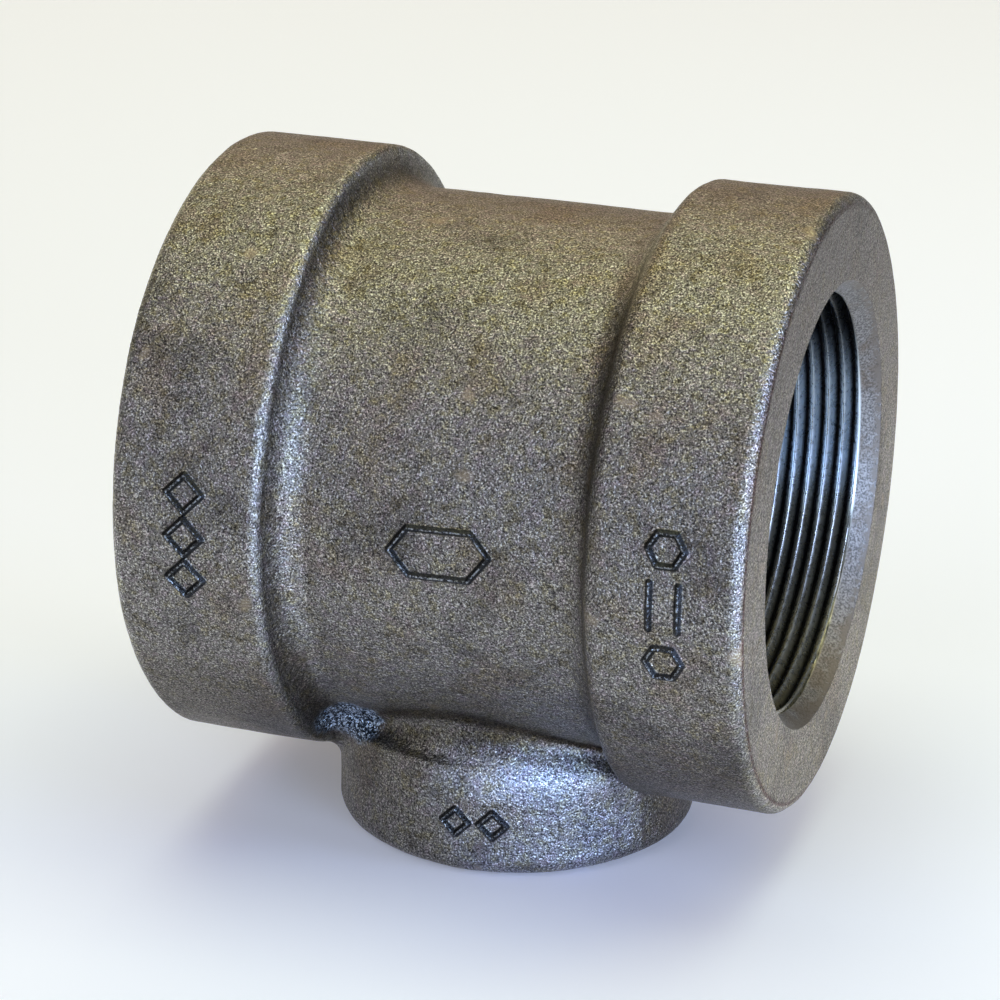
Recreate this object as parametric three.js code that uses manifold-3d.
// A cast-iron reducing tee: two equal threaded run ends on one axis and a smaller
// threaded outlet square to it. Millimetres, +Z up.
//
// The run lies along X and the outlet points down. The origin is the centre of the
// outlet's end face, so the part stands on that face.
//
// The real fitting is one casting with three tapped sockets. It is modelled here as the
// named regions that a patternmaker and a machinist would call out: the barrel, the three
// reinforcing bands and the three tapped threads. They all belong to one rigid body.

import * as THREE from 'three';
import { mergeVertices } from 'three/addons/utils/BufferGeometryUtils.js';
import Module from 'manifold-3d';

const wasm = await Module();
wasm.setup();

// ---- driving dimensions -------------------------------------------------------------

const RUN_CENTRE_TO_END = 42.8;    // outlet axis to either run face
const OUTLET_CENTRE_TO_END = 50.6; // run axis to the outlet face

const RUN_BAND_RADIUS = 41.65;
const RUN_BAND_WIDTH = 20.9;
const RUN_FACE_ROUND = 2.0;        // rounding of a run band's outer end edge
const RUN_SHOULDER_ROUND = 1.8;    // rounding of its inner edge, over the barrel

const BARREL_RADIUS = 36.4;
const BARREL_CAVITY_RADIUS = 30.8;
const BAND_FILLET = RUN_BAND_RADIUS - RUN_SHOULDER_ROUND - BARREL_RADIUS; // down to the barrel

const OUTLET_BAND_RADIUS = 24.95;
const OUTLET_BAND_WIDTH = 15.75;
const OUTLET_EDGE_ROUND = 2.4;
const OUTLET_NECK_RADIUS = 22.4;
const OUTLET_BORE_RADIUS = 17.3;   // cast bore above the outlet's thread

const SLEEVE_WALL = 3.2;           // metal taken with each thread, from its crest outwards
const THREAD_PITCH = 25.4 / 11.5;
const THREAD_HEIGHT = 1.6;         // crest to root
const THREAD_CREST_FLAT = 0.25;
const THREAD_TAPER = 1 / 32;       // loss of radius for each millimetre of depth
const THREAD_FIRST_DEPTH = 0.6;    // where the groove starts, in the mouth's chamfer

// Each thread has half as many sides as the casting round it, so its corners sit in the
// corners of the casting's bore.
const RUN_THREAD_SIDES = 28;
const OUTLET_THREAD_SIDES = 20;
const RUN_SEGMENTS = 2 * RUN_THREAD_SIDES;
const OUTLET_SEGMENTS = 2 * OUTLET_THREAD_SIDES;
const GAP = 0.3;                   // between the outlet band and what it is cut to fit

// Radii are those of the thread's crest and of the mouth's chamfer, at the end face.
const RUN_SOCKET = {
  crestRadius: 28.36,
  mouthRadius: 30.16,
  mouthDepth: 2.6,
  depth: RUN_BAND_WIDTH,
  sides: RUN_THREAD_SIDES,
};
const OUTLET_SOCKET = {
  crestRadius: 14.93,
  mouthRadius: 16.8,
  mouthDepth: 2.2,
  depth: OUTLET_BAND_WIDTH,
  sides: OUTLET_THREAD_SIDES,
};

const BAND_INNER_X = RUN_CENTRE_TO_END - RUN_BAND_WIDTH;
const RUN_SLEEVE_RADIUS = RUN_SOCKET.crestRadius + SLEEVE_WALL;
const OUTLET_SLEEVE_RADIUS = OUTLET_SOCKET.crestRadius + SLEEVE_WALL;

// ---- materials ----------------------------------------------------------------------

const asCastIron = (color) => new THREE.MeshStandardMaterial({ color, roughness: 0.62, metalness: 0.75 });

const cutIron = (color) => new THREE.MeshStandardMaterial({ color, roughness: 0.38, metalness: 0.9 });

// ---- profiles -----------------------------------------------------------------------
// A profile is a closed loop of (radius, height) points. Height runs along the axis.

const point = (radius, height) => new THREE.Vector2(radius, height);

function arcPoints(centreRadius, centreHeight, size, fromDegrees, toDegrees, steps) {
  const points = [];
  for (let i = 0; i <= steps; i += 1) {
    const angle = THREE.MathUtils.degToRad(fromDegrees + (toDegrees - fromDegrees) * (i / steps));
    points.push(point(centreRadius + size * Math.cos(angle), centreHeight + size * Math.sin(angle)));
  }
  return points;
}

// ---- solids -------------------------------------------------------------------------

function solidOf(geometry) {
  const bare = geometry.clone();
  bare.deleteAttribute('normal');
  bare.deleteAttribute('uv');
  const merged = mergeVertices(bare, 1e-4);
  return new wasm.Manifold(new wasm.Mesh({
    numProp: 3,
    vertProperties: new Float32Array(merged.attributes.position.array),
    triVerts: new Uint32Array(merged.index.array),
  }));
}

function geometryOf(solid) {
  const mesh = solid.getMesh();
  const geometry = new THREE.BufferGeometry();
  geometry.setAttribute('position', new THREE.BufferAttribute(new Float32Array(mesh.vertProperties), 3));
  geometry.setIndex(new THREE.BufferAttribute(new Uint32Array(mesh.triVerts), 1));
  geometry.computeVertexNormals();
  return geometry;
}

// A lathe turned about Z, with its profile's heights along +Z.
function turnedAboutZ(profile, segments) {
  const closed = [...profile, profile[0].clone()];
  const geometry = new THREE.LatheGeometry(closed, segments);
  geometry.rotateX(Math.PI / 2);
  return geometry;
}

// Heights in a socket's own frame are depths into the fitting from its end face. These
// place that frame on each end: the face's centre goes to the end, depth goes inwards.
function placeOnRunEnd(geometry, side) {
  geometry.rotateY(-side * Math.PI / 2);
  geometry.translate(side * RUN_CENTRE_TO_END, 0, OUTLET_CENTRE_TO_END);
  return geometry;
}

// ---- threads ------------------------------------------------------------------------

// The path of a right-hand tapered thread's groove, down into a socket from its face. One
// turn has as many steps as the socket has sides, so the groove's corners meet its edges.
class GroovePath extends THREE.Curve {
  constructor(socket, lastDepth) {
    super();
    this.socket = socket;
    this.steps = Math.floor((lastDepth - THREAD_FIRST_DEPTH) / THREAD_PITCH * socket.sides);
    this.turns = this.steps / socket.sides;
  }

  angleAt(t) {
    return t * this.turns * 2 * Math.PI;
  }

  getPoint(t, target = new THREE.Vector3()) {
    const depth = THREAD_FIRST_DEPTH + t * this.turns * THREAD_PITCH;
    const radius = this.socket.crestRadius - depth * THREAD_TAPER;
    const angle = this.angleAt(t);
    return target.set(radius * Math.cos(angle), radius * Math.sin(angle), depth);
  }

  getPointAt(u, target) {
    return this.getPoint(u, target);
  }

  // The groove's section stands square to the axis: x outwards, y towards the mouth.
  computeFrenetFrames(steps) {
    const tangents = [];
    const normals = [];
    const binormals = [];
    for (let i = 0; i <= steps; i += 1) {
      const angle = this.angleAt(i / steps);
      tangents.push(new THREE.Vector3(-Math.sin(angle), Math.cos(angle), 0));
      normals.push(new THREE.Vector3(Math.cos(angle), Math.sin(angle), 0));
      binormals.push(new THREE.Vector3(0, 0, -1));
    }
    return { tangents, normals, binormals };
  }
}

// A 60-degree groove. Its base stands a little inside the bore, so that it cuts the crests
// cleanly, and stays narrower than the pitch, so that its turns don't meet.
function grooveSection() {
  const baseHalfWidth = THREAD_PITCH / 2 - 0.02;
  const flankSlope = Math.tan(Math.PI / 6);
  const mouthHalfWidth = (THREAD_PITCH - THREAD_CREST_FLAT) / 2;
  const base = (baseHalfWidth - mouthHalfWidth) / flankSlope;
  return new THREE.Shape([
    point(-base, -baseHalfWidth),
    point(THREAD_HEIGHT, 0),
    point(-base, baseHalfWidth),
  ]);
}

// The tapped wall of a socket: a sleeve with a chamfered mouth, a tapered bore cut by the
// groove, and a short cone where the thread runs out into the cast bore.
function tappedSleeve(socket) {
  const { crestRadius, mouthRadius, mouthDepth, depth, sides } = socket;
  const outerRadius = crestRadius + SLEEVE_WALL;
  const crestAt = (atDepth) => crestRadius - atDepth * THREAD_TAPER;
  const runOut = THREAD_HEIGHT;
  const sleeve = solidOf(turnedAboutZ([
    point(mouthRadius, 0),
    point(outerRadius, 0),
    point(outerRadius, depth),
    point(crestAt(depth) + runOut, depth),
    point(crestAt(depth - runOut), depth - runOut),
    point(crestAt(mouthDepth), mouthDepth),
  ], sides));
  const path = new GroovePath(socket, depth - THREAD_PITCH);
  const groove = new THREE.ExtrudeGeometry(grooveSection(), {
    steps: path.steps,
    extrudePath: path,
    bevelEnabled: false,
  });
  return sleeve.subtract(solidOf(groove));
}

function runThread(side) {
  return placeOnRunEnd(geometryOf(tappedSleeve(RUN_SOCKET)), side);
}

function outletThread() {
  return geometryOf(tappedSleeve(OUTLET_SOCKET));
}

// ---- cast regions -------------------------------------------------------------------

// A band round a run socket: rounded at both edges, with the fillet that runs down to the
// barrel. Behind the thread's sleeve it narrows to the barrel's cavity.
function runBand(side) {
  const width = RUN_BAND_WIDTH;
  const filletTop = BARREL_RADIUS + BAND_FILLET;
  const shoulder = RUN_SHOULDER_ROUND;
  const profile = [
    point(RUN_SLEEVE_RADIUS, 0),
    ...arcPoints(RUN_BAND_RADIUS - RUN_FACE_ROUND, RUN_FACE_ROUND, RUN_FACE_ROUND, -90, 0, 4),
    ...arcPoints(RUN_BAND_RADIUS - shoulder, width - shoulder, shoulder, 0, 90, 4),
    ...arcPoints(filletTop, width + BAND_FILLET, BAND_FILLET, -90, -180, 5).slice(1),
    point(BARREL_CAVITY_RADIUS, width + BAND_FILLET),
    point(BARREL_CAVITY_RADIUS, width),
    point(RUN_SLEEVE_RADIUS, width),
  ];
  return placeOnRunEnd(turnedAboutZ(profile, RUN_SEGMENTS), side);
}

// The whole run as a solid bar, larger all round by the given amount.
function runBar(extra) {
  const filletTop = BARREL_RADIUS + extra + BAND_FILLET;
  const bandRadius = RUN_BAND_RADIUS + extra;
  const shoulder = BAND_INNER_X - extra;
  const end = RUN_CENTRE_TO_END + extra;
  const halfProfile = (sign) => [
    ...arcPoints(filletTop, sign * (shoulder - BAND_FILLET), BAND_FILLET, 180, 180 - sign * 90, 4),
    point(bandRadius, sign * shoulder),
    point(bandRadius, sign * end),
    point(0, sign * end),
  ];
  const profile = [...halfProfile(-1).reverse(), ...halfProfile(1)];
  const geometry = new THREE.LatheGeometry(profile, RUN_SEGMENTS);
  geometry.rotateX(Math.PI / 2);
  geometry.rotateY(Math.PI / 2);
  geometry.translate(0, 0, OUTLET_CENTRE_TO_END);
  return solidOf(geometry);
}

function verticalBar(radius, fromHeight, toHeight) {
  const profile = [
    point(0, fromHeight),
    point(radius, fromHeight),
    point(radius, toHeight),
    point(0, toHeight),
  ];
  const geometry = new THREE.LatheGeometry(profile, OUTLET_SEGMENTS);
  geometry.rotateX(Math.PI / 2);
  return solidOf(geometry);
}

// The plain tube between the run bands' fillets, with the hole to the outlet.
function barrel() {
  const half = BAND_INNER_X - BAND_FILLET;
  const profile = [
    point(BARREL_CAVITY_RADIUS, -half),
    point(BARREL_RADIUS, -half),
    point(BARREL_RADIUS, half),
    point(BARREL_CAVITY_RADIUS, half),
  ];
  const tube = turnedAboutZ(profile, RUN_SEGMENTS);
  tube.rotateY(Math.PI / 2);
  tube.translate(0, 0, OUTLET_CENTRE_TO_END);
  return geometryOf(
    solidOf(tube)
      .subtract(verticalBar(OUTLET_BORE_RADIUS, 0, OUTLET_CENTRE_TO_END))
      .subtract(verticalBar(OUTLET_SLEEVE_RADIUS + GAP, 0, OUTLET_BAND_WIDTH + GAP)),
  );
}

// The outlet's collar and the neck above it, cut to sit under the barrel and the bands.
function outletBand() {
  const neckTop = OUTLET_CENTRE_TO_END - BARREL_CAVITY_RADIUS * 0.7;
  const round = OUTLET_EDGE_ROUND;
  const roundCentre = OUTLET_BAND_RADIUS - round;
  const collarProfile = [
    point(OUTLET_SLEEVE_RADIUS, 0),
    ...arcPoints(roundCentre, round, round, -90, 0, 4),
    ...arcPoints(roundCentre, OUTLET_BAND_WIDTH - round, round, 0, 90, 4),
    point(OUTLET_NECK_RADIUS, OUTLET_BAND_WIDTH),
    point(OUTLET_NECK_RADIUS, neckTop),
    point(OUTLET_BORE_RADIUS, neckTop),
    point(OUTLET_BORE_RADIUS, OUTLET_BAND_WIDTH),
    point(OUTLET_SLEEVE_RADIUS, OUTLET_BAND_WIDTH),
  ];
  return geometryOf(solidOf(turnedAboutZ(collarProfile, OUTLET_SEGMENTS)).subtract(runBar(GAP)));
}

// ---- assembly -----------------------------------------------------------------------

function part(name, geometry, material) {
  const mesh = new THREE.Mesh(geometry, material);
  mesh.name = name;
  return mesh;
}

const tee = new THREE.Group();
tee.add(part('barrel', barrel(), asCastIron('#4a4640')));
tee.add(part('outlet_band', outletBand(), asCastIron('#46433f')));
tee.add(part('outlet_thread', outletThread(), cutIron('#5d5f63')));
for (const [sideName, side] of [['left', -1], ['right', 1]]) {
  tee.add(part(`run_band_${sideName}`, runBand(side), asCastIron('#4c483f')));
  tee.add(part(`run_thread_${sideName}`, runThread(side), cutIron('#5f6266')));
}

export default tee;
